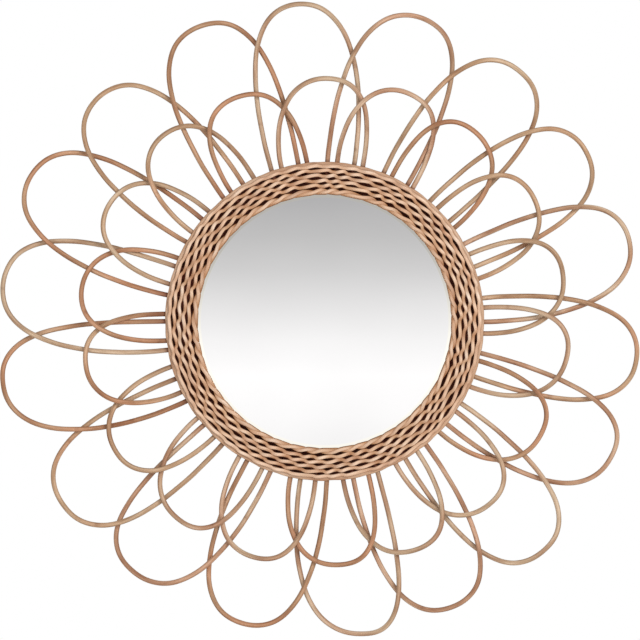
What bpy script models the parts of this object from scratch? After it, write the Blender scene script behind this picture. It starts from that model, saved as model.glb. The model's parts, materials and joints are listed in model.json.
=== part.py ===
"""Round wall mirror in a woven cane ring, with two rows of bent-cane petals around it.

The wall is the plane y = 0, and the mirror faces -Y. X runs to the right and Z up, and the
origin is on the wall behind the middle of the glass. Lengths are in metres. A turn is an
angle in degrees, clockwise from the top as seen from the front. Forward means away from the
wall, so a point that stands forward by f has y = -f.
"""
import math

import bpy
import numpy as np

# Cane and clearances
CANE = 0.0046
GAP = 0.0003
CROSSING_AIR = 0.0006
TUBE_SIDES = 6

# Backing board, glass and woven ring
BOARD_THICKNESS = 0.004
BOARD_INSET = 0.004
BOARD_CHAMFER = 0.001
GLASS_THICKNESS = 0.004
GLASS_LAP = 0.004
GLASS_BEVEL = 0.0008
DISC_SIDES = 48
RING_OPENING_RADIUS = 0.118
RING_WIDTH = 0.0308
RING_ROWS = 7
RING_EDGE_RISE = 0.0034
RING_DOME_RISE = 0.0028
RING_GROOVE = 0.0016
RING_RELIEF = 0.0006
SLITS_PER_ROW = 50

# Petals: how many, how far they reach past the ring and how far their ends go under it
PETALS = 18
LEG_TUCK = 0.010
OUTER_REACH = 0.1482
INNER_REACH = 0.0792
FEET_SHIFT_X = 0.0010
FEET_SHIFT_Z = -0.0012

# Places of the four legs in each group, as shares of the pitch of the petals
OUTER_LEFT_LEG = 0.030
INNER_LEFT_LEG = 0.215
OUTER_RIGHT_LEG = 0.510
INNER_RIGHT_LEG = 0.695
OUTER_TIP = 0.850
INNER_TIP = 0.900

# Bend of a petal: its legs leave the ring along one handle and reach its crown along another.
# Leg handles are shares of the petal's length past the ring, crown handles of the pitch at
# the tip, and leans are degrees from the spoke.
OUTER_LEG_HANDLE = 0.548
OUTER_CROWN_HANDLE = 0.52
OUTER_LEFT_LEAN = 3.5
OUTER_RIGHT_LEAN = -0.5
INNER_LEG_HANDLE = 0.613
INNER_LEFT_CROWN_HANDLE = 0.44
INNER_RIGHT_CROWN_HANDLE = 0.49
INNER_LEFT_LEAN = 2.0
INNER_RIGHT_LEAN = -3.0

# How far the bends stand forward of the legs, in crossings: one crossing lifts a cane over
# another. Each petal's left side lies over the right side of the one before it, and the
# inner row lies over the outer row.
OUTER_LAY = {"left_leg": -1.3, "left_crown": 3.8, "tip": 1.3, "right_leg": 0.0}
INNER_LAY = {"left_leg": 2.4, "left_crown": 3.2, "tip": 2.2, "right_leg": 1.0}
OUTER_STEPS = 7
INNER_STEPS = 5
CROWN_CROWDING = 0.8

# Each cane is bent by hand. Per petal, from the top clockwise: degrees its tip leans, then
# millimetres that it reaches further, bulges on its left and bulges on its right, then degrees
# that its left leg leans and that its left and right feet are turned.
OUTER_BENDS = [
    (-1.5, 1, -1, -5, 0, -0.25, 0), (0.75, 1, 3, 0, 0, 0, 0.5), (0.75, 0, 0, 3, 0, 0.5, 0.5),
    (-0.75, -5, -6, 1, 0, 0, -0.75), (-2, -2, -2, -3, 0, -0.25, -0.5),
    (0, -3, -2, -2, 0, 0.5, -0.25), (-2, 0, -3, 1, 0, 0.5, -0.25),
    (-1, 0, -3, 2, 0, 0.25, -0.5), (-1.5, -4, -4, -2, 0, 0, -0.25),
    (-5, -2, -11, 7, 0, 0.25, -1), (-1.75, -4, -2, -2, 0, -1, -0.5),
    (0.25, -2, 1, 2, 0, -0.25, -0.25), (-1.5, 2, 6, 2, -2, -0.25, -0.75),
    (1.5, 10, 1, 5, 0, 0, 0.25), (-0.25, 6, 1, 5, 0, -0.5, 0.25),
    (-1.25, 10, 1, 5, -1.5, -0.75, -0.25), (-2.5, 1, 0, -1, -5, -0.5, -1),
    (-0.25, 3, 2, 4, 0, 0, 0),
]
INNER_BENDS = [
    (2.5, -1, 0, 0, 0, -0.25, -0.5), (1.75, -1, 0, 0, 0, -0.25, -1), (0, -2, 0, 0, 0, 0, -0.25),
    (0.5, -1, 0, 0, 0, 0, 0), (0, -1, 0, 0, 0, 0.25, 0), (-0.5, 1, 0, 0, 0, 0.25, 0),
    (-0.5, 0, 0, 0, 0, -0.25, 0), (-0.5, 2, 0, 0, 0, 0, -0.25), (-0.5, 2, 0, 0, 0, 0.25, -0.25),
    (-1.5, 0, 0, 0, 0, 0, -1), (-1, 2, 0, 0, 0, -0.5, -1), (-1.75, 2, 0, 0, 0, -0.75, -0.5),
    (0, 2, 0, 0, 0, 0, 0.25), (1, -1, 0, 0, 0, 0, -0.75), (-0.5, 1, 0, 0, 0, -0.75, -0.25),
    (0, 1, 0, 0, 0, -0.5, -0.25), (0.5, 2, 0, 0, 0, -0.25, -0.25),
    (0, -3, 0, 0, 0, -0.25, -0.5),
]
MILLIMETRE = 0.001

# Places worked out from the sizes above
RING_OUTER_RADIUS = RING_OPENING_RADIUS + RING_WIDTH
LEG_FORWARD = BOARD_THICKNESS + GAP + CANE / 2
RING_BACK = BOARD_THICKNESS + GAP + max(CANE, GLASS_THICKNESS) + GAP
PITCH = 360.0 / PETALS
CROSSING = CANE + CROSSING_AIR


def clear_scene():
    """Remove every object, so that only the mirror is left."""
    for old in list(bpy.data.objects):
        bpy.data.objects.remove(old, do_unlink=True)


def make_material(name, colour, roughness, metallic=0.0):
    """A plain Principled material of one colour, given as linear red, green and blue."""
    material = bpy.data.materials.new(name)
    material.use_nodes = True
    shader = material.node_tree.nodes["Principled BSDF"]
    shader.inputs["Base Color"].default_value = (*colour, 1.0)
    shader.inputs["Roughness"].default_value = roughness
    shader.inputs["Metallic"].default_value = metallic
    return material


def spoke(turn):
    """Unit arrow in the plane of the wall (x, z) that points out from the middle."""
    return np.array([math.sin(math.radians(turn)), math.cos(math.radians(turn))])


def point(turn, radius, forward):
    """A place given by its turn, its distance from the middle and how far it stands forward."""
    x, z = radius * spoke(turn)
    return np.array([x, -forward, z])


def bezier(ends, steps):
    """Points of a cubic Bezier curve from a petal's foot to its tip.

    Its four control points are weighted by the share travelled, and the points lie closer
    together towards the crown, where the bend is tight.
    """
    share = np.linspace(0.0, 1.0, steps + 1)[:, None] ** CROWN_CROWDING
    rest = 1.0 - share
    return (rest ** 3 * ends[0] + 3 * rest ** 2 * share * ends[1]
            + 3 * rest * share ** 2 * ends[2] + share ** 3 * ends[3])


def petal_foot(turn, lean, handle, lift):
    """End of a leg under the ring, its place at the ring's edge and the handle it leaves by."""
    shift = np.array([FEET_SHIFT_X, 0.0, FEET_SHIFT_Z])
    end = point(turn, RING_OUTER_RADIUS - LEG_TUCK, LEG_FORWARD) + shift
    foot = point(turn, RING_OUTER_RADIUS, LEG_FORWARD) + shift
    x, z = handle * spoke(turn + lean)
    return end, foot, foot + np.array([x, -lift * CROSSING, z])


def petal_path(left, right, tip_turn, reach, leg_handle, crowns, leans, lay, steps):
    """Centre line of one petal: up its left leg, over the crown and down its right leg."""
    tip_radius = RING_OUTER_RADIUS + reach
    tip = point(tip_turn, tip_radius, LEG_FORWARD + lay["tip"] * CROSSING)
    across_x, across_z = spoke(tip_turn + 90.0)
    rise = (lay["left_crown"] - lay["tip"]) * CROSSING / crowns[0]
    across = np.array([across_x, rise, across_z])
    left_end, left_foot, left_leg = petal_foot(left, leans[0], leg_handle, lay["left_leg"])
    right_end, right_foot, right_leg = petal_foot(right, leans[1], leg_handle, lay["right_leg"])
    up = bezier([left_foot, left_leg, tip - crowns[0] * across, tip], steps)
    down = bezier([right_foot, right_leg, tip + crowns[1] * across, tip], steps)[::-1]
    return np.vstack([left_end, up, down[1:], right_end])


def outer_path(number):
    """Centre line of an outer petal, counted from 0 at the top."""
    turn, reach, left, right, lean, left_foot, right_foot = OUTER_BENDS[number % len(OUTER_BENDS)]
    start = PITCH * (number - 1)
    length = OUTER_REACH + reach * MILLIMETRE
    crown = OUTER_CROWN_HANDLE * math.radians(PITCH) * (RING_OUTER_RADIUS + OUTER_REACH)
    return petal_path(start + OUTER_LEFT_LEG * PITCH + left_foot,
                      start + (1 + OUTER_RIGHT_LEG) * PITCH + right_foot,
                      start + OUTER_TIP * PITCH + turn, length, OUTER_LEG_HANDLE * OUTER_REACH,
                      (crown + left * MILLIMETRE, crown + right * MILLIMETRE),
                      (OUTER_LEFT_LEAN + lean, OUTER_RIGHT_LEAN), OUTER_LAY, OUTER_STEPS)


def inner_path(number):
    """Centre line of an inner petal, counted from 0 at the top."""
    turn, reach, left, right, lean, left_foot, right_foot = INNER_BENDS[number % len(INNER_BENDS)]
    start = PITCH * (number - 1)
    pitch_at_tip = math.radians(PITCH) * (RING_OUTER_RADIUS + INNER_REACH)
    return petal_path(start + INNER_LEFT_LEG * PITCH + left_foot,
                      start + (1 + INNER_RIGHT_LEG) * PITCH + right_foot,
                      start + INNER_TIP * PITCH + turn, INNER_REACH + reach * MILLIMETRE,
                      INNER_LEG_HANDLE * INNER_REACH,
                      (INNER_LEFT_CROWN_HANDLE * pitch_at_tip + left * MILLIMETRE,
                       INNER_RIGHT_CROWN_HANDLE * pitch_at_tip + right * MILLIMETRE),
                      (INNER_LEFT_LEAN + lean, INNER_RIGHT_LEAN), INNER_LAY, INNER_STEPS)


def add_cane(name, path, material):
    """One length of round cane: a poly curve with a round bevel and closed ends."""
    curve = bpy.data.curves.new(name, "CURVE")
    curve.dimensions = "3D"
    curve.bevel_depth = CANE / 2
    curve.bevel_resolution = TUBE_SIDES // 2 - 2
    curve.use_fill_caps = True
    spline = curve.splines.new("POLY")
    spline.points.add(len(path) - 1)
    spline.points.foreach_set("co", np.column_stack([path, np.ones(len(path))]).ravel())
    curve.materials.append(material)
    cane = bpy.data.objects.new(name, curve)
    bpy.context.collection.objects.link(cane)
    return cane


def add_mesh(name, vertices, faces, material):
    """A mesh object from its points and faces, shaded smooth but for its sharp edges."""
    mesh = bpy.data.meshes.new(name)
    mesh.from_pydata([tuple(place) for place in vertices], [], faces)
    mesh.materials.append(material)
    mesh.shade_smooth()
    mesh.set_sharp_from_angle(angle=math.radians(50))
    piece = bpy.data.objects.new(name, mesh)
    bpy.context.collection.objects.link(piece)
    return piece


def add_disc(name, radius, back, thickness, edge, material):
    """A round plate with its front rim cut back by a narrow bevel."""
    outline = [(radius, back), (radius, back + thickness - edge),
               (radius - edge, back + thickness)]
    turns = [360.0 * side / DISC_SIDES for side in range(DISC_SIDES)]
    vertices = [point(turn, reach, forward) for reach, forward in outline for turn in turns]
    faces = [list(range(DISC_SIDES))]
    for level in range(len(outline) - 1):
        for side in range(DISC_SIDES):
            following = (side + 1) % DISC_SIDES
            low = level * DISC_SIDES
            high = low + DISC_SIDES
            faces.append([low + following, low + side, high + side, high + following])
    front = (len(outline) - 1) * DISC_SIDES
    faces.append([front + side for side in reversed(range(DISC_SIDES))])
    return add_mesh(name, vertices, faces, material)


def ring_profile(station):
    """Section of the woven ring at one station: radius and forward place of each corner.

    Crests and grooves alternate across a low dome. A crest stands higher where its weaver
    passes in front and lower where it passes behind, and each row is half a wave along.
    """
    row_width = RING_WIDTH / RING_ROWS
    corners = [(RING_OPENING_RADIUS, RING_BACK)]
    for row in range(RING_ROWS):
        share = (row + 0.5) / RING_ROWS
        dome = RING_EDGE_RISE + RING_DOME_RISE * math.sin(math.pi * share)
        over = 1 if (station + row) % 2 == 0 else -1
        crest = RING_OPENING_RADIUS + (row + 0.5) * row_width
        corners.append((crest, RING_BACK + dome + over * RING_RELIEF))
        if row < RING_ROWS - 1:
            share = (row + 1) / RING_ROWS
            dome = RING_EDGE_RISE + RING_DOME_RISE * math.sin(math.pi * share)
            groove = RING_OPENING_RADIUS + (row + 1) * row_width
            corners.append((groove, RING_BACK + dome - RING_GROOVE))
    corners.append((RING_OUTER_RADIUS, RING_BACK))
    return corners


def add_woven_ring(material):
    """The woven band as one solid, with its rows of weavers as a low relief."""
    stations = 2 * SLITS_PER_ROW
    vertices = []
    for station in range(stations):
        turn = 360.0 * station / stations
        vertices += [point(turn, radius, forward) for radius, forward in ring_profile(station)]
    corners = len(ring_profile(0))
    faces = []
    for station in range(stations):
        here = station * corners
        there = ((station + 1) % stations) * corners
        for corner in range(corners):
            following = (corner + 1) % corners
            faces.append([here + corner, there + corner, there + following, here + following])
    return add_mesh("woven_ring", vertices, faces, material)


def build():
    """Make every piece of the mirror."""
    clear_scene()
    cane = make_material("rattan cane", (0.50, 0.29, 0.18), 0.55)
    weave = make_material("woven rattan", (0.60, 0.38, 0.24), 0.60)
    silver = make_material("silvered glass", (0.90, 0.90, 0.90), 0.02, 1.0)
    board = make_material("dark fibreboard", (0.05, 0.02, 0.01), 0.85)
    add_disc("backing_board", RING_OUTER_RADIUS - BOARD_INSET, 0.0, BOARD_THICKNESS,
             BOARD_CHAMFER, board)
    add_disc("mirror_glass", RING_OPENING_RADIUS + GLASS_LAP, BOARD_THICKNESS + GAP,
             GLASS_THICKNESS, GLASS_BEVEL, silver)
    add_woven_ring(weave)
    for number in range(PETALS):
        add_cane(f"outer_petal_{number + 1:02d}", outer_path(number), cane)
        add_cane(f"inner_petal_{number + 1:02d}", inner_path(number), cane)


build()
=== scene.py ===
"""Scene of the woven flower wall mirror: bent rattan petals, a woven ring and round glass.

The mirror faces -Y and hangs on the plane y = 0. Lengths are in metres. A turn is an angle in
degrees, clockwise from the top as seen from the front. Forward means away from the wall, so a
point that stands forward by f has y = -f. The petals follow the same curves as the solids.
"""

import json
import math

import bpy
import numpy as np
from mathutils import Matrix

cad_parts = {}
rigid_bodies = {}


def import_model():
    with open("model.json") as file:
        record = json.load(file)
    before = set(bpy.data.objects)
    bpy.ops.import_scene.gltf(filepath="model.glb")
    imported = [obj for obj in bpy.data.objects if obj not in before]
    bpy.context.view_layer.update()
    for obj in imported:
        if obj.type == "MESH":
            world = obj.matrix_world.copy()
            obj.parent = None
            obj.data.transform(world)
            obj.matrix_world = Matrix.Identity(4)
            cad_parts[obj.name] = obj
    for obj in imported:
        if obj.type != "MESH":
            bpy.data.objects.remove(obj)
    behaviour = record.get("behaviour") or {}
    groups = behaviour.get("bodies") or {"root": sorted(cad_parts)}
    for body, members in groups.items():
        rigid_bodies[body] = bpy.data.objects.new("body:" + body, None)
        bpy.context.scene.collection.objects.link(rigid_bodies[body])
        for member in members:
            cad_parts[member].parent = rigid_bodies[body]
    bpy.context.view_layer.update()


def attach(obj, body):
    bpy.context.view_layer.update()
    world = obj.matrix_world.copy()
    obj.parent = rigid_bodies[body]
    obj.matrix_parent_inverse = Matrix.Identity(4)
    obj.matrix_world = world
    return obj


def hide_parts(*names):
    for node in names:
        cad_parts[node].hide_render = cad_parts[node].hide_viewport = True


MILLIMETRE = 0.001

# Sizes shared with the solids
CANE = 0.0046
GAP = 0.0003
CROSSING = 0.0052
BOARD_RADIUS = 0.1448
BOARD_THICKNESS = 0.004
BOARD_CHAMFER = 0.001
GLASS_RADIUS = 0.122
GLASS_THICKNESS = 0.004
RING_OPENING_RADIUS = 0.118
RING_OUTER_RADIUS = 0.1488
RING_BACK = BOARD_THICKNESS + GAP + CANE + GAP
LEG_FORWARD = BOARD_THICKNESS + GAP + CANE / 2
PETALS = 18
PITCH = 360.0 / PETALS
LEG_TUCK = 0.010
FEET_SHIFT = np.array([0.0010, 0.0, -0.0012])

# Outer and inner petals: reach past the ring, places of their legs and tips as shares of the
# pitch, handles and leans of their bends, and how far they lie forward, in crossings
OUTER = {
    "reach": 0.1482, "left": 0.030, "right": 0.510, "tip": 0.850, "leg_handle": 0.548,
    "crown_handles": (0.52, 0.52), "leans": (3.5, -0.5),
    "lay": {"left_leg": -1.3, "left_crown": 3.8, "tip": 1.3, "right_leg": 0.0},
}
INNER = {
    "reach": 0.0792, "left": 0.215, "right": 0.695, "tip": 0.900, "leg_handle": 0.613,
    "crown_handles": (0.44, 0.49), "leans": (2.0, -3.0),
    "lay": {"left_leg": 2.4, "left_crown": 3.2, "tip": 2.2, "right_leg": 1.0},
}

# Bends of each petal, from the top clockwise: degrees its tip leans, then millimetres that it
# reaches further, bulges on its left and on its right, then degrees that its left leg leans and
# that its left and right feet are turned
OUTER_BENDS = [
    (-1.5, 1, -1, -5, 0, -0.25, 0), (0.75, 1, 3, 0, 0, 0, 0.5), (0.75, 0, 0, 3, 0, 0.5, 0.5),
    (-0.75, -5, -6, 1, 0, 0, -0.75), (-2, -2, -2, -3, 0, -0.25, -0.5),
    (0, -3, -2, -2, 0, 0.5, -0.25), (-2, 0, -3, 1, 0, 0.5, -0.25),
    (-1, 0, -3, 2, 0, 0.25, -0.5), (-1.5, -4, -4, -2, 0, 0, -0.25),
    (-5, -2, -11, 7, 0, 0.25, -1), (-1.75, -4, -2, -2, 0, -1, -0.5),
    (0.25, -2, 1, 2, 0, -0.25, -0.25), (-1.5, 2, 6, 2, -2, -0.25, -0.75),
    (1.5, 10, 1, 5, 0, 0, 0.25), (-0.25, 6, 1, 5, 0, -0.5, 0.25),
    (-1.25, 10, 1, 5, -1.5, -0.75, -0.25), (-2.5, 1, 0, -1, -5, -0.5, -1),
    (-0.25, 3, 2, 4, 0, 0, 0),
]
INNER_BENDS = [
    (2.5, -1, 0, 0, 0, -0.25, -0.5), (1.75, -1, 0, 0, 0, -0.25, -1), (0, -2, 0, 0, 0, 0, -0.25),
    (0.5, -1, 0, 0, 0, 0, 0), (0, -1, 0, 0, 0, 0.25, 0), (-0.5, 1, 0, 0, 0, 0.25, 0),
    (-0.5, 0, 0, 0, 0, -0.25, 0), (-0.5, 2, 0, 0, 0, 0, -0.25), (-0.5, 2, 0, 0, 0, 0.25, -0.25),
    (-1.5, 0, 0, 0, 0, 0, -1), (-1, 2, 0, 0, 0, -0.5, -1), (-1.75, 2, 0, 0, 0, -0.75, -0.5),
    (0, 2, 0, 0, 0, 0, 0.25), (1, -1, 0, 0, 0, 0, -0.75), (-0.5, 1, 0, 0, 0, -0.75, -0.25),
    (0, 1, 0, 0, 0, -0.5, -0.25), (0.5, 2, 0, 0, 0, -0.25, -0.25),
    (0, -3, 0, 0, 0, -0.25, -0.5),
]
PETAL_STEPS = 44
TUCK_SHARES = (0.0, 0.06, 0.5)
CANE_SIDES = 14

# Unevenness of a petal's cane: how far its line wanders, in waves of which lengths, and how
# soon that begins at its ends, then its swelling as a share of its thickness, in waves of which
# lengths, and how thin its ends are
CANE_WANDER = 0.00025
WANDER_WAVES = (0.03, 0.12)
WANDER_EASE = 0.02
CANE_SWELL = 0.03
SWELL_WAVES = (0.02, 0.2)
END_SHARE = 0.75

# Painted shadow of the ring on the feet, in brown: the length in which it fades, how much every
# foot has, and how much more a foot at the far left has, at least and at most
FOOT_FADE = 0.008
FOOT_SHADE = 0.1
LEFT_FOOT_SHADE = (0.3, 1.1)

# Weavers of the ring: five, with a row of slits inside each. Angles here run anticlockwise
# from +X, in degrees, and places along the pattern of slits are in slits.
ROWS = 5
FIRST_ROW_RADIUS = 0.1273
ROW_SPACING = 0.0045
SLITS_PER_ROW = 50
FIRST_SLIT = 2.41
SLIT_SHIFT = 3.07
WEAVER_WIDTH = 0.00325
WEAVER_DEPTH = 0.0023
WEAVER_SWAY = 0.00073
SWAY_PLACES = (-0.15, 0.42, 0.60, 0.85)
WEAVER_LIFT = 0.0010
CREST = 0.10
RING_DOME = 0.0022
STATIONS_PER_SLIT = 16
WEAVER_SIDES = 12
FLATNESS = 0.65
# Depth below a strand's crest over which its painted shade, in brown, grows to full
SHADE_DEPTH = 0.0030

# Twisted pair at the inner border of the ring
BORDER_RADIUS = 0.1213
BORDER_TWIST = 0.0012
BORDER_BULGE = 0.0006
BORDER_WIDTH = 0.0034
BORDER_FLATTENING = 0.9
BORDER_BROWN = 0.20

# Plain strand at the outer edge of the ring, and how calm the weaver beside it is
EDGE_RADIUS = 0.1468
EDGE_WIDTH = 0.0055
EDGE_DEPTH = 0.0024
EDGE_BROWN = 0.55
EDGE_CALM = 0.6

# Unevenness of the weave: its size, the fewest waves that it has round the ring and a number
# that they stay under. In turn, slits along their row, in slits, the strength of a weaver's
# wave, and the drifts outwards of one weaver, of all rows, of the border and of the edge.
SLIT_JITTER = (0.13, 3, 19)
STRENGTH_CHANGE = (0.16, 6, 30)
WEAVER_DRIFT = (0.00012, 2, 12)
ROWS_DRIFT = (0.00028, 3, 16)
BORDER_DRIFT = (0.0001, 4, 20)
EDGE_DRIFT = (0.00028, 9, 60)
WAVE_TURN = 0.9
ROWS_TURN = 0.5
LIFT_LIMITS = (0.6, 1.15)
EDGE_LIMITS = (-0.00056, 0.00014)
WEAVE_SEED = 4
ROWS_SEED = 64
EDGE_SEED = 54

# How far the grain moves along from strand to strand, and at most from petal to petal, and the
# step through the hues from one strand to the next
STRAND_SHIFT = 0.7
PETAL_SHIFT = 5.0
HUE_STEP = 0.618

# Round plates: the bevel of the glass inside the ring, the paler, warmer line of painted
# reflection at its rim, which starts and is full so far inside the ring's opening, and how finely
# the plates are made
BEVEL_WIDTH = 0.0015
BEVEL_FALL = 0.00004
REFLECTED_RIM_START = 0.002
REFLECTED_RIM_FULL = 0.001
PLATE_SIDES = 180

# Largest angle between faces that are shaded as one smooth surface, in degrees
CANE_SMOOTH = 50.0
PLATE_SMOOTH = 1.0

# Studio: half of the card behind the camera, its distance, half of the height that the glass
# shows of it, the floor, and the camera with its lens and film width in millimetres
CARD_HALF = 0.85
CARD_DISTANCE = 2.7
CARD_SHOWN = 0.245
FLOOR_SIDES = (-2.5, 2.5)
FLOOR_ENDS = (-3.5, 1.5)
FLOOR_HEIGHT = -0.9
CAMERA_PLACE = (-0.00436, -2.51, 0.00127)
CAMERA_LENS = 150.0
FILM_WIDTH = 36.0


def clear_start():
    """Remove the objects that a new Blender file starts with."""
    for old in list(bpy.data.objects):
        bpy.data.objects.remove(old, do_unlink=True)


def colour(code):
    """Linear red, green, blue and alpha of a colour given as six sRGB hex digits."""
    parts = np.array([int(code[start:start + 2], 16) for start in (1, 3, 5)]) / 255.0
    linear = np.where(parts <= 0.04045, parts / 12.92, ((parts + 0.055) / 1.055) ** 2.4)
    return (*linear.tolist(), 1.0)


def spoke(turn):
    """Unit arrow in the plane of the wall that points out from the middle, as x and z."""
    return np.array([math.sin(math.radians(turn)), math.cos(math.radians(turn))])


def point(turn, radius, forward):
    """A place given by its turn, its distance from the middle and how far it stands forward."""
    x, z = radius * spoke(turn)
    return np.array([x, -forward, z])


def bezier(ends, share):
    """Points of a cubic Bezier curve: its four control points weighted by the share travelled."""
    share = share[:, None]
    rest = 1.0 - share
    return (rest ** 3 * ends[0] + 3 * rest ** 2 * share * ends[1]
            + 3 * rest * share ** 2 * ends[2] + share ** 3 * ends[3])


def petal_foot(turn, lean, handle, lift):
    """End of a leg under the ring, its place at the ring's edge and the handle it leaves by."""
    end = point(turn, RING_OUTER_RADIUS - LEG_TUCK, LEG_FORWARD) + FEET_SHIFT
    foot = point(turn, RING_OUTER_RADIUS, LEG_FORWARD) + FEET_SHIFT
    x, z = handle * spoke(turn + lean)
    return end, foot, foot + np.array([x, -lift * CROSSING, z])


def petal_path(row, bends, number):
    """Centre line of a petal: up its left leg, over the crown and down its right leg.

    Each half is one Bezier curve from the foot to the tip, and the tuck under the ring is
    straight.
    """
    turn, further, left_bulge, right_bulge, left_lean, left_turn, right_turn = bends[number]
    start = PITCH * (number - 1)
    at_tip = math.radians(PITCH) * (RING_OUTER_RADIUS + row["reach"])
    left_crown = row["crown_handles"][0] * at_tip + left_bulge * MILLIMETRE
    right_crown = row["crown_handles"][1] * at_tip + right_bulge * MILLIMETRE
    tip_turn = start + row["tip"] * PITCH + turn
    lay = row["lay"]
    tip = point(tip_turn, RING_OUTER_RADIUS + row["reach"] + further * MILLIMETRE,
                LEG_FORWARD + lay["tip"] * CROSSING)
    across_x, across_z = spoke(tip_turn + 90.0)
    rise = (lay["left_crown"] - lay["tip"]) * CROSSING / left_crown
    across = np.array([across_x, rise, across_z])
    handle = row["leg_handle"] * row["reach"]
    left_end, left_foot, left_leg = petal_foot(
        start + row["left"] * PITCH + left_turn, row["leans"][0] + left_lean, handle,
        lay["left_leg"])
    right_end, right_foot, right_leg = petal_foot(
        start + (1 + row["right"]) * PITCH + right_turn, row["leans"][1], handle,
        lay["right_leg"])
    share = np.linspace(0.0, 1.0, PETAL_STEPS + 1)
    up = bezier([left_foot, left_leg, tip - left_crown * across, tip], share)
    down = bezier([right_foot, right_leg, tip + right_crown * across, tip], share)[::-1]
    tuck = np.array(TUCK_SHARES)[:, None]
    enter = left_end + tuck * (left_foot - left_end)
    leave = (right_end + tuck * (right_foot - right_end))[::-1]
    return np.vstack([enter, up, down[1:], leave])


def wander(along, random, amplitude, shortest, longest, waves=5):
    """A smooth uneven line: a sum of sine waves between two wave lengths, with random starts."""
    lengths = np.geomspace(shortest, longest, waves)
    starts = random.uniform(0.0, 2 * math.pi, waves)
    return amplitude * np.sin(2 * math.pi * along[:, None] / lengths + starts).mean(axis=1)


def frame_of(path, closed):
    """Side and front arrows along a line that stays roughly parallel to the wall.

    The side is square to the line's direction and to forward, and the front is square to both.
    """
    if closed:
        tangent = np.roll(path, -1, axis=0) - np.roll(path, 1, axis=0)
    else:
        tangent = np.gradient(path, axis=0)
    tangent /= np.linalg.norm(tangent, axis=1, keepdims=True)
    side = np.cross(tangent, [0.0, -1.0, 0.0])
    side /= np.linalg.norm(side, axis=1, keepdims=True)
    return side, np.cross(side, tangent)


def tube(path, half_width, half_depth, sides, closed, flatness=1.0):
    """Points of a tube round a line, as an array of stations by sides.

    A point is the centre, plus the side arrow by the cosine of the angle round, plus the
    front arrow by its sine, each by its half size. A flatness under 1 is a power that both
    are raised to, which flattens the section's faces.
    """
    side, front = frame_of(path, closed)
    angle = 2 * math.pi * np.arange(sides) / sides
    cosine = np.sign(np.cos(angle)) * np.abs(np.cos(angle)) ** flatness
    sine = np.sign(np.sin(angle)) * np.abs(np.sin(angle)) ** flatness
    across = (half_width * side)[:, None, :] * cosine[None, :, None]
    outward = (half_depth * front)[:, None, :] * sine[None, :, None]
    return path[:, None, :] + across + outward


def tube_faces(stations, sides, closed, first=0):
    """Four-sided faces of a tube, as an array of point numbers that faces outwards."""
    last = stations if closed else stations - 1
    station, side = np.meshgrid(np.arange(last), np.arange(sides), indexing="ij")
    ahead = (station + 1) % stations
    beside = (side + 1) % sides
    corners = [(station, side), (ahead, side), (ahead, beside), (station, beside)]
    numbers = [first + along * sides + across for along, across in corners]
    return np.stack(numbers, axis=-1).reshape(-1, 4)


def distance_along(path):
    """Metres along a line from its first point to each of its points."""
    steps = np.linalg.norm(np.diff(path, axis=0), axis=1)
    return np.concatenate([[0.0], np.cumsum(steps)])


def tube_grain(path, radius, sides, closed):
    """Straightened coordinates at each face corner: metres along, then across both ways."""
    along = distance_along(np.vstack([path, path[:1]]) if closed else path)
    last = len(along) - 1
    station, side = np.meshgrid(np.arange(last), np.arange(sides), indexing="ij")
    corners = []
    for ahead, beside in ((0, 0), (1, 0), (1, 1), (0, 1)):
        angle = 2 * math.pi * (side + beside) / sides
        corners.append(np.stack([along[station + ahead], radius * np.cos(angle),
                                 radius * np.sin(angle)], axis=-1))
    return np.stack(corners, axis=2).reshape(-1, 3)


def add_mesh(name, vertices, faces, material, grain=None, tones=None, smooth=CANE_SMOOTH):
    """A smooth mesh object at the origin, with its grain and its tones kept as attributes."""
    mesh = bpy.data.meshes.new(name)
    mesh.from_pydata(vertices.tolist(), [], faces)
    if grain is not None:
        attribute = mesh.attributes.new("grain", "FLOAT_VECTOR", "CORNER")
        attribute.data.foreach_set("vector", grain.astype(np.float32).ravel())
    for kind, values in (tones or {}).items():
        attribute = mesh.attributes.new(kind, "FLOAT", "POINT")
        values = np.broadcast_to(values, len(vertices)).astype(np.float32)
        attribute.data.foreach_set("value", values)
    mesh.materials.append(material)
    mesh.shade_smooth()
    mesh.set_sharp_from_angle(angle=math.radians(smooth))
    piece = bpy.data.objects.new(name, mesh)
    bpy.context.scene.collection.objects.link(piece)
    return piece


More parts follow.
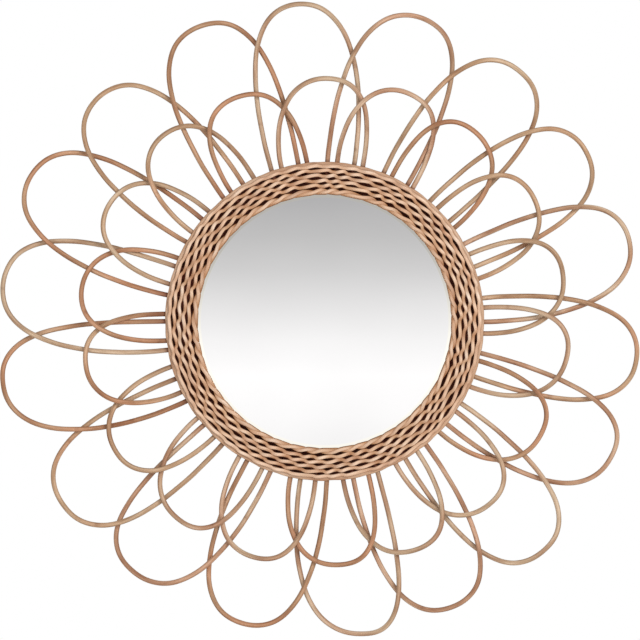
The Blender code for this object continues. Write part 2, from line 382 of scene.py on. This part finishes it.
def add_petal(name, path, random, material):
    """One bent cane, a little uneven in its line and thickness, with closed ends.

    Its feet carry a painted shadow of the ring, in brown, that fades as e to the power of minus
    the distance past the ring, in lengths of fade, and is stronger on feet further left; under
    the ring the cane is all in painted brown shade.
    """
    along = distance_along(path)
    ease = np.minimum(1.0, np.minimum(along, along[-1] - along) / WANDER_EASE)
    side, _ = frame_of(path, False)
    path = path + side * (ease * wander(along, random, CANE_WANDER, *WANDER_WAVES))[:, None]
    radius = CANE / 2 * (1.0 + wander(along, random, CANE_SWELL, *SWELL_WAVES))
    radius[[0, -1]] *= END_SHARE
    rows = tube(path, radius[:, None], radius[:, None], CANE_SIDES, False)
    stations = len(path)
    quads = tube_faces(stations, CANE_SIDES, False)
    start_cap = np.arange(CANE_SIDES)
    end_cap = (stations - 1) * CANE_SIDES + start_cap[::-1]
    faces = quads.tolist() + [start_cap.tolist(), end_cap.tolist()]
    grain = tube_grain(path, CANE / 2, CANE_SIDES, False)
    grain += random.uniform(0.0, PETAL_SHIFT, 3) * [1, 0, 0]
    cap_grain = np.tile(grain[[0, -1]], (CANE_SIDES, 1, 1)).transpose(1, 0, 2).reshape(-1, 3)
    beyond = np.hypot(path[:, 0], path[:, 2]) - RING_OUTER_RADIUS
    # Painted shadow of the ring on the feet, in brown: some on every foot, more further left,
    # full under the ring
    to_left = max(0.0, -path[0, 0] / RING_OUTER_RADIUS)
    foot_shade = FOOT_SHADE + random.uniform(*LEFT_FOOT_SHADE) * to_left
    shade_and_brown = np.where(beyond < -GAP, 1.0, foot_shade * np.exp(-beyond / FOOT_FADE))
    shade_and_brown = np.repeat(shade_and_brown.clip(0.0, 1.0), CANE_SIDES)
    return add_mesh(name, rows.reshape(-1, 3), faces, material, np.vstack([grain, cap_grain]),
                    {"tone": random.uniform(), "shade_and_brown": shade_and_brown})


def sway(share):
    """Sideways wave of a weaver over one slit: a slow fall from +1 to -1, a rest, a quick rise.

    Between two places the wave follows a smooth step, 3 t squared less 2 t cubed.
    """
    start, low, rest, high = SWAY_PLACES
    share = (share - start) % 1.0 + start
    fall = ((share - start) / (low - start)).clip(0.0, 1.0)
    rise = ((share - rest) / (high - rest)).clip(0.0, 1.0)
    return 1.0 - 2.0 * (3 * fall ** 2 - 2 * fall ** 3) + 2.0 * (3 * rise ** 2 - 2 * rise ** 3)


def unevenness(angle, row, random, size, fewest, under, waves=7):
    """A slow random field over the ring: the size times a sum of sine waves round it.

    Each wave turns by its own share from row to row, and the sum is divided by the root of
    half their number, so that the size is its usual height.
    """
    counts = random.integers(fewest, under, waves)
    starts = random.uniform(0.0, 2 * math.pi, waves)
    turns = random.uniform(-WAVE_TURN, WAVE_TURN, waves)
    terms = np.sin(counts * angle[:, None] + starts + turns * row)
    return size * (terms.sum(axis=1) / math.sqrt(waves / 2))


def round_path(angle, radius, forward):
    """A closed line round the middle, from its angle, radius and forward place."""
    return np.stack([radius * np.cos(angle), -forward, radius * np.sin(angle)], axis=-1)


def slit_share(angle, row):
    """How far along the pattern of slits an angle is, in slits, with a slow hand-made drift."""
    first = math.radians(FIRST_SLIT + SLIT_SHIFT * row)
    jitter = unevenness(angle, row, np.random.default_rng(WEAVE_SEED), *SLIT_JITTER)
    return (angle - first) * SLITS_PER_ROW / (2 * math.pi) + jitter


def weaver_path(angle, row):
    """Centre line of the weaver outside one row of slits, all the way round.

    It bows outwards round the slits on its inner side and inwards round those on its outer
    side, and it comes forward between the two, by a cosine wave. All rows drift together, and
    each drifts a little by itself. The rows lie on a dome, which is half a sine wave across the
    ring, apart from the outermost one, which lies on the edge strand.
    """
    radius = FIRST_ROW_RADIUS + row * ROW_SPACING
    share = slit_share(angle, row)
    random = np.random.default_rng(WEAVE_SEED + 1 + row)
    strength = 1.0 + unevenness(angle, 0, random, *STRENGTH_CHANGE)
    drift = unevenness(angle, 0, random, *WEAVER_DRIFT)
    together = np.random.default_rng(ROWS_SEED)
    drift += unevenness(angle, ROWS_TURN * row, together, *ROWS_DRIFT)
    across = (radius - RING_OPENING_RADIUS) / (RING_OUTER_RADIUS - RING_OPENING_RADIUS)
    level = RING_BACK + WEAVER_DEPTH / 2 + WEAVER_LIFT + RING_DOME * math.sin(math.pi * across)
    calm = 1.0
    if row == ROWS - 1:
        calm = EDGE_CALM
        level = RING_BACK + EDGE_DEPTH + WEAVER_DEPTH / 2 + calm * WEAVER_LIFT
    reach = radius + calm * (drift + WEAVER_SWAY * strength * sway(share))
    lift = calm * WEAVER_LIFT * strength.clip(*LIFT_LIMITS)
    forward = level + lift * np.cos(2 * math.pi * (share - CREST))
    return round_path(angle, reach, forward)


def border_path(angle, strand):
    """Centre line of one strand of the twisted pair at the inner border.

    The two strands turn round each other, each once in two slits: outwards by the twist times
    the cosine of the turn plus the bulge times its square, and forward by the flattened twist
    times the sine. The pair is widest halfway between the slits.
    """
    phase = math.pi * (slit_share(angle, 0) - 0.5 + strand)
    level = RING_BACK + BORDER_WIDTH / 2 + BORDER_TWIST
    drift = unevenness(angle, 0, np.random.default_rng(WEAVE_SEED), *BORDER_DRIFT)
    outwards = np.cos(phase)
    reach = BORDER_RADIUS + drift + BORDER_TWIST * outwards + BORDER_BULGE * outwards ** 2
    return round_path(angle, reach, level + BORDER_FLATTENING * BORDER_TWIST * np.sin(phase))


def edge_path(angle):
    """Centre line of the plain strand at the outer edge, with a slow drift."""
    drift = unevenness(angle, 0, np.random.default_rng(EDGE_SEED), *EDGE_DRIFT)
    radius = EDGE_RADIUS + drift.clip(*EDGE_LIMITS)
    return round_path(angle, radius, np.full_like(angle, RING_BACK + EDGE_DEPTH / 2))


def add_woven_ring(material):
    """The ring as one piece: its strands are tubes with a flattened section.

    A strand carries more painted shade, in brown, the deeper it lies under its own crest, and the
    border and the edge have some brown all over.
    """
    stations = SLITS_PER_ROW * STATIONS_PER_SLIT
    angle = 2 * math.pi * np.arange(stations) / stations
    strands = [(edge_path(angle), EDGE_WIDTH, EDGE_DEPTH, EDGE_BROWN)]
    strands += [(border_path(angle, strand), BORDER_WIDTH, BORDER_FLATTENING * BORDER_WIDTH,
                 BORDER_BROWN) for strand in (0, 1)]
    strands += [(weaver_path(angle, row), WEAVER_WIDTH, WEAVER_DEPTH, 0.0)
                for row in range(ROWS)]
    count = stations * WEAVER_SIDES
    tubes = [tube(path, width / 2, depth / 2, WEAVER_SIDES, True, FLATNESS).reshape(-1, 3)
             for path, width, depth, _ in strands]
    faces = np.vstack([tube_faces(stations, WEAVER_SIDES, True, count * number)
                       for number in range(len(strands))])
    grain = np.vstack([
        tube_grain(path, width / 2, WEAVER_SIDES, True) + [STRAND_SHIFT * number, 0, 0]
        for number, (path, width, _, _) in enumerate(strands)])
    # Painted shade in brown, deeper below each strand's own crest, plus the brown all over of the
    # border and the edge
    shade_and_brown = [(brown + (points[:, 1] - points[:, 1].min()) / SHADE_DEPTH).clip(0.0, 1.0)
               for points, (_, _, _, brown) in zip(tubes, strands)]
    tone = np.repeat((np.arange(len(strands)) * HUE_STEP) % 1.0, count)
    return add_mesh("woven_rattan_ring", np.vstack(tubes), faces.tolist(), material, grain,
                    {"tone": tone, "shade_and_brown": np.hstack(shade_and_brown)})


def add_plate(name, outline, material):
    """A round plate: an outline of radius and forward place turned about the middle.

    The outline runs from the rear face's edge to the front face's edge, and each end is
    closed by one flat face.
    """
    outline = np.array(outline)
    angle = 2 * math.pi * np.arange(PLATE_SIDES) / PLATE_SIDES
    radius = outline[:, 0][:, None]
    forward = np.broadcast_to(outline[:, 1][:, None], (len(outline), PLATE_SIDES))
    rows = np.stack([radius * np.cos(angle), -forward, radius * np.sin(angle)], axis=-1)
    quads = tube_faces(len(outline), PLATE_SIDES, False)[:, ::-1]
    rear = np.arange(PLATE_SIDES)[::-1]
    front = (len(outline) - 1) * PLATE_SIDES + np.arange(PLATE_SIDES)
    faces = quads.tolist() + [rear.tolist(), front.tolist()]
    return add_mesh(name, rows.reshape(-1, 3), faces, material, smooth=PLATE_SMOOTH)


def add_node(tree, kind, inputs=None, **settings):
    """Add a shader node: its options, then each input as a constant or a socket to link from."""
    node = tree.nodes.new("ShaderNode" + kind)
    for name, value in settings.items():
        setattr(node, name, value)
    for socket, value in (inputs or {}).items():
        if isinstance(value, bpy.types.NodeSocket):
            tree.links.new(value, node.inputs[socket])
        else:
            node.inputs[socket].default_value = value
    return node


def add_ramp(tree, factor, stops):
    """Colours along a ramp: stops are pairs of a place from 0 to 1 and a colour."""
    ramp = add_node(tree, "ValToRGB", {"Fac": factor})
    while len(ramp.color_ramp.elements) < len(stops):
        ramp.color_ramp.elements.new(0.5)
    for element, (place, shade) in zip(ramp.color_ramp.elements, stops):
        element.position = place
        element.color = colour(shade)
    return ramp.outputs["Color"]


def start_material(name):
    """A new material with its node tree and Principled shader."""
    material = bpy.data.materials.new(name)
    material.use_nodes = True
    return material, material.node_tree, material.node_tree.nodes["Principled BSDF"]


def noise(tree, vector, lengths, detail=3.0):
    """Noise whose features are about as long as the given metres in each direction."""
    scale = [1.0 / length for length in lengths]
    scaled = add_node(tree, "Mapping", {"Vector": vector, "Scale": scale})
    texture = add_node(tree, "TexNoise", {"Vector": scaled.outputs["Vector"], "Scale": 1.0,
                                          "Detail": detail, "Roughness": 0.55})
    return texture.outputs["Fac"]


def mix(tree, kind, amount, first, second):
    """Two colours mixed by a factor, each of the three a constant or a socket.

    Sockets 0, 6 and 7 of the node are its factor and its two colours.
    """
    node = tree.nodes.new("ShaderNodeMix")
    node.data_type = "RGBA"
    node.blend_type = kind
    for place, value in ((0, amount), (6, first), (7, second)):
        if isinstance(value, bpy.types.NodeSocket):
            tree.links.new(value, node.inputs[place])
        else:
            node.inputs[place].default_value = value
    return node.outputs[2]


def rattan(name, tones, hues, brown, fibre_strength):
    """Peeled rattan: tones that change along each cane, a hue of its own for each length,
    painted shade and shadow in its brown where a piece is marked for them, fine fibres and a
    satin surface.

    Patches are about 35 mm long, changes of hue 70 mm and joint marks 13 mm, and the fibres
    are 20 mm long and a third of a millimetre wide.
    """
    material, tree, shader = start_material(name)
    grain = add_node(tree, "Attribute", attribute_name="grain").outputs["Vector"]
    tone = add_node(tree, "Attribute", attribute_name="tone").outputs["Fac"]
    shade_and_brown = add_node(tree, "Attribute", attribute_name="shade_and_brown").outputs["Fac"]
    patches = add_ramp(tree, noise(tree, grain, (0.035, 0.004, 0.004)),
                       list(zip((0.30, 0.50, 0.72), tones)))
    change = noise(tree, grain, (0.07, 0.02, 0.02), 1.0)
    place = add_node(tree, "MapRange", {"Value": change, "From Min": 0.3, "From Max": 0.7,
                                        "To Min": -0.25, "To Max": 0.25}).outputs["Result"]
    place = add_node(tree, "Math", {0: tone, 1: place}, operation="ADD").outputs["Value"]
    hue = mix(tree, "MULTIPLY", 1.0, patches,
              add_ramp(tree, place, list(zip((0.0, 0.35, 0.7, 1.0), hues))))
    joints = add_ramp(tree, noise(tree, grain, (0.013, 0.02, 0.02), 1.0),
                      [(0.66, "#FFFFFF"), (0.80, brown)])
    # Painted shade and shadow: the brown multiplies the colour where a piece is marked for it;
    # the joints are real marks
    hue = mix(tree, "MULTIPLY", shade_and_brown, mix(tree, "MULTIPLY", 0.6, hue, joints), colour(brown))
    fibres = noise(tree, grain, (0.020, 0.00035, 0.00035), 2.0)
    streaks = add_ramp(tree, fibres, [(0.35, "#CDBDB0"), (0.60, "#FFFFFF")])
    tree.links.new(mix(tree, "MULTIPLY", fibre_strength, hue, streaks),
                   shader.inputs["Base Color"])
    tree.links.new(add_ramp(tree, fibres, [(0.3, "#D0D0D0"), (0.7, "#A8A8A8")]),
                   shader.inputs["Roughness"])
    bump = add_node(tree, "Bump", {"Height": fibres, "Strength": 0.35, "Distance": 0.0001})
    tree.links.new(bump.outputs["Normal"], shader.inputs["Normal"])
    shader.inputs["Specular IOR Level"].default_value = 0.35
    return material


def silvered_glass():
    """Silvered glass: an almost perfect mirror with a faint haze, a little less bright than
    what it reflects, and a painted reflection round its edge, a paler, warmer line."""
    material, tree, shader = start_material("silvered glass")
    place = add_node(tree, "TexCoord").outputs["Object"]
    haze = noise(tree, place, (0.09, 0.09, 0.09), 1.0)
    silver = add_ramp(tree, haze, [(0.3, "#F6F5F5"), (0.7, "#FAF9F9")])
    radius = add_node(tree, "VectorMath", {0: place}, operation="LENGTH").outputs["Value"]
    # Painted reflection: the glass turns paler and warmer near the ring's opening
    rim = add_node(tree, "MapRange", {"Value": radius,
                                      "From Min": RING_OPENING_RADIUS - REFLECTED_RIM_START,
                                      "From Max": RING_OPENING_RADIUS - REFLECTED_RIM_FULL})
    tree.links.new(mix(tree, "MIX", rim.outputs["Result"], silver, colour("#FFFCF3")),
                   shader.inputs["Base Color"])
    shader.inputs["Metallic"].default_value = 1.0
    shader.inputs["Roughness"].default_value = 0.012
    return material


def fibreboard():
    """Fibreboard coloured a nearly black red-brown as painted shade, so that the slits of the
    weave look deep; pressed fibres a millimetre or two long, and matt."""
    material, tree, shader = start_material("fibreboard painted as slit shade")
    place = add_node(tree, "TexCoord").outputs["Object"]
    fibres = noise(tree, place, (0.0014, 0.0014, 0.0009), 4.0)
    clouds = noise(tree, place, (0.05, 0.05, 0.05), 2.0)
    # Painted shade: a nearly black red-brown ground that stands in for the shade deep in the
    # slits
    ground = add_ramp(tree, clouds, [(0.35, "#5E2007"), (0.65, "#70290B")])
    specks = add_ramp(tree, fibres, [(0.40, "#8C7868"), (0.62, "#FFFFFF")])
    tree.links.new(mix(tree, "MULTIPLY", 0.8, ground, specks), shader.inputs["Base Color"])
    bump = add_node(tree, "Bump", {"Height": fibres, "Strength": 0.4, "Distance": 0.0002})
    tree.links.new(bump.outputs["Normal"], shader.inputs["Normal"])
    shader.inputs["Roughness"].default_value = 0.85
    return material


def finish_piece(piece, slot, *nodes):
    """Attach a piece to the root body and hide the solids that it stands for; the slot is not
    used.
    """
    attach(piece, "root")
    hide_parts(*nodes)


def build_mirror():
    """Make the shown pieces, each in the place of its solid."""
    # The last colour of each is the brown of the joint marks and of the painted shade and shadow
    cane = rattan("peeled rattan cane", ("#A58367", "#C6AA8C", "#E6CFB5"),
                  ("#FBE4DE", "#FFFFFF", "#FDF2E9", "#EECBB9"), "#8A5240", 0.6)
    weave = rattan("pale woven rattan", ("#D8B298", "#F2D5BC", "#FFEEDF"),
                   ("#FFFFFF", "#FFF9F4", "#FFF6EE", "#FBF3E8"), "#BD9C74", 0.5)
    for kind, row, bends, seed in (("outer", OUTER, OUTER_BENDS, 500),
                                   ("inner", INNER, INNER_BENDS, 501)):
        for number in range(PETALS):
            petal = add_petal(f"cane_{kind}_{number + 1:02d}", petal_path(row, bends, number),
                              np.random.default_rng(seed + 7 * number), cane)
            finish_piece(petal, "cane", f"{kind}_petal_{number + 1:02d}")
    finish_piece(add_woven_ring(weave), "woven_rattan", "woven_ring")
    face = BOARD_THICKNESS + GAP + GLASS_THICKNESS
    bevel_start = RING_OPENING_RADIUS - BEVEL_WIDTH
    slope = BEVEL_FALL / BEVEL_WIDTH
    edge_face = face - slope * (GLASS_RADIUS - bevel_start)
    glass = add_plate("bevelled_mirror", [(GLASS_RADIUS, BOARD_THICKNESS + GAP),
                                          (GLASS_RADIUS, edge_face), (bevel_start, face)],
                      silvered_glass())
    finish_piece(glass, "silvered_glass", "mirror_glass")
    rim = BOARD_RADIUS - BOARD_CHAMFER
    board = add_plate("round_backing", [(rim, 0.0), (BOARD_RADIUS, BOARD_CHAMFER),
                                        (BOARD_RADIUS, BOARD_THICKNESS - BOARD_CHAMFER),
                                        (rim, BOARD_THICKNESS)], fibreboard())
    finish_piece(board, "board", "backing_board")


def add_light(name, place, size, power, shade):
    """A soft square light that faces the mirror."""
    data = bpy.data.lights.new(name, "AREA")
    data.size = size
    data.energy = power
    data.color = colour(shade)[:3]
    light = bpy.data.objects.new(name, data)
    light.location = place
    away = np.array(place) / np.linalg.norm(place)
    light.rotation_euler = (math.acos(away[2]), 0.0, math.atan2(away[1], away[0]) + math.pi / 2)
    bpy.context.scene.collection.objects.link(light)


def add_card():
    """A studio card behind the camera that the glass reflects, grey above and white below."""
    material, tree, shader = start_material("lit studio card")
    place = add_node(tree, "TexCoord").outputs["Object"]
    height = add_node(tree, "SeparateXYZ", {"Vector": place}).outputs["Z"]
    share = add_node(tree, "MapRange", {"Value": height, "From Min": -CARD_SHOWN,
                                        "From Max": CARD_SHOWN})
    glow = add_ramp(tree, share.outputs["Result"],
                    [(0.0, "#F5F5F5"), (0.12, "#FBFBFB"), (0.28, "#FFFFFF"), (0.42, "#F5F5F5"),
                     (0.5, "#ECECEC"), (0.58, "#E2E2E2"), (0.7, "#D0D0D0"), (0.84, "#BFBFBF"),
                     (1.0, "#B0B0B1")])
    shader.inputs["Base Color"].default_value = colour("#000000")
    shader.inputs["Roughness"].default_value = 1.0
    tree.links.new(glow, shader.inputs["Emission Color"])
    shader.inputs["Emission Strength"].default_value = 1.06
    corners = np.array([[x * CARD_HALF, -CARD_DISTANCE, z * CARD_HALF]
                        for x, z in ((-1, -1), (1, -1), (1, 1), (-1, 1))])
    card = add_mesh("reflector_card", corners, [[3, 2, 1, 0]], material)
    card.visible_camera = False
    card.visible_shadow = False


def add_floor():
    """A plain pale floor, well below the mirror."""
    material, tree, shader = start_material("pale studio floor")
    place = add_node(tree, "TexCoord").outputs["Object"]
    tree.links.new(add_ramp(tree, noise(tree, place, (0.5, 0.5, 0.5)),
                            [(0.3, "#E9E7E4"), (0.7, "#F1EFEC")]), shader.inputs["Base Color"])
    shader.inputs["Roughness"].default_value = 0.8
    left, right = FLOOR_SIDES
    near, far = FLOOR_ENDS
    corners = np.array([[left, near, FLOOR_HEIGHT], [right, near, FLOOR_HEIGHT],
                        [right, far, FLOOR_HEIGHT], [left, far, FLOOR_HEIGHT]])
    add_mesh("studio_floor", corners, [[0, 1, 2, 3]], material)


def light_world():
    """A white background for the camera, and a softer even light for everything else."""
    world = bpy.data.worlds.new("studio")
    world.use_nodes = True
    tree = world.node_tree
    tree.nodes.clear()
    seen = add_node(tree, "Background", {"Color": colour("#FFFFFF"), "Strength": 1.0})
    around = add_node(tree, "Background", {"Color": colour("#FBFAF8"), "Strength": 0.36})
    ray = add_node(tree, "LightPath").outputs["Is Camera Ray"]
    both = add_node(tree, "MixShader", {0: ray, 1: around.outputs[0], 2: seen.outputs[0]})
    add_node(tree, "OutputWorld", {"Surface": both.outputs[0]})
    bpy.context.scene.world = world


def add_camera():
    """The photograph's view: straight on from the front, from far enough to look flat."""
    data = bpy.data.cameras.new("camera")
    data.lens = CAMERA_LENS
    data.sensor_width = FILM_WIDTH
    data.clip_start = 0.1
    data.clip_end = 50.0
    camera = bpy.data.objects.new("camera", data)
    camera.location = CAMERA_PLACE
    camera.rotation_euler = (math.pi / 2, 0.0, 0.0)
    bpy.context.scene.collection.objects.link(camera)
    bpy.context.scene.camera = camera


clear_start()
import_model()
build_mirror()
add_card()
add_floor()
add_light("key_right", (1.2, -2.3, 0.8), 1.1, 38.5, "#FFFBF7")
add_light("fill_left", (-1.3, -2.4, -0.5), 1.2, 16.5, "#FBFCFF")
light_world()
add_camera()
bpy.context.scene.view_settings.view_transform = "Standard"
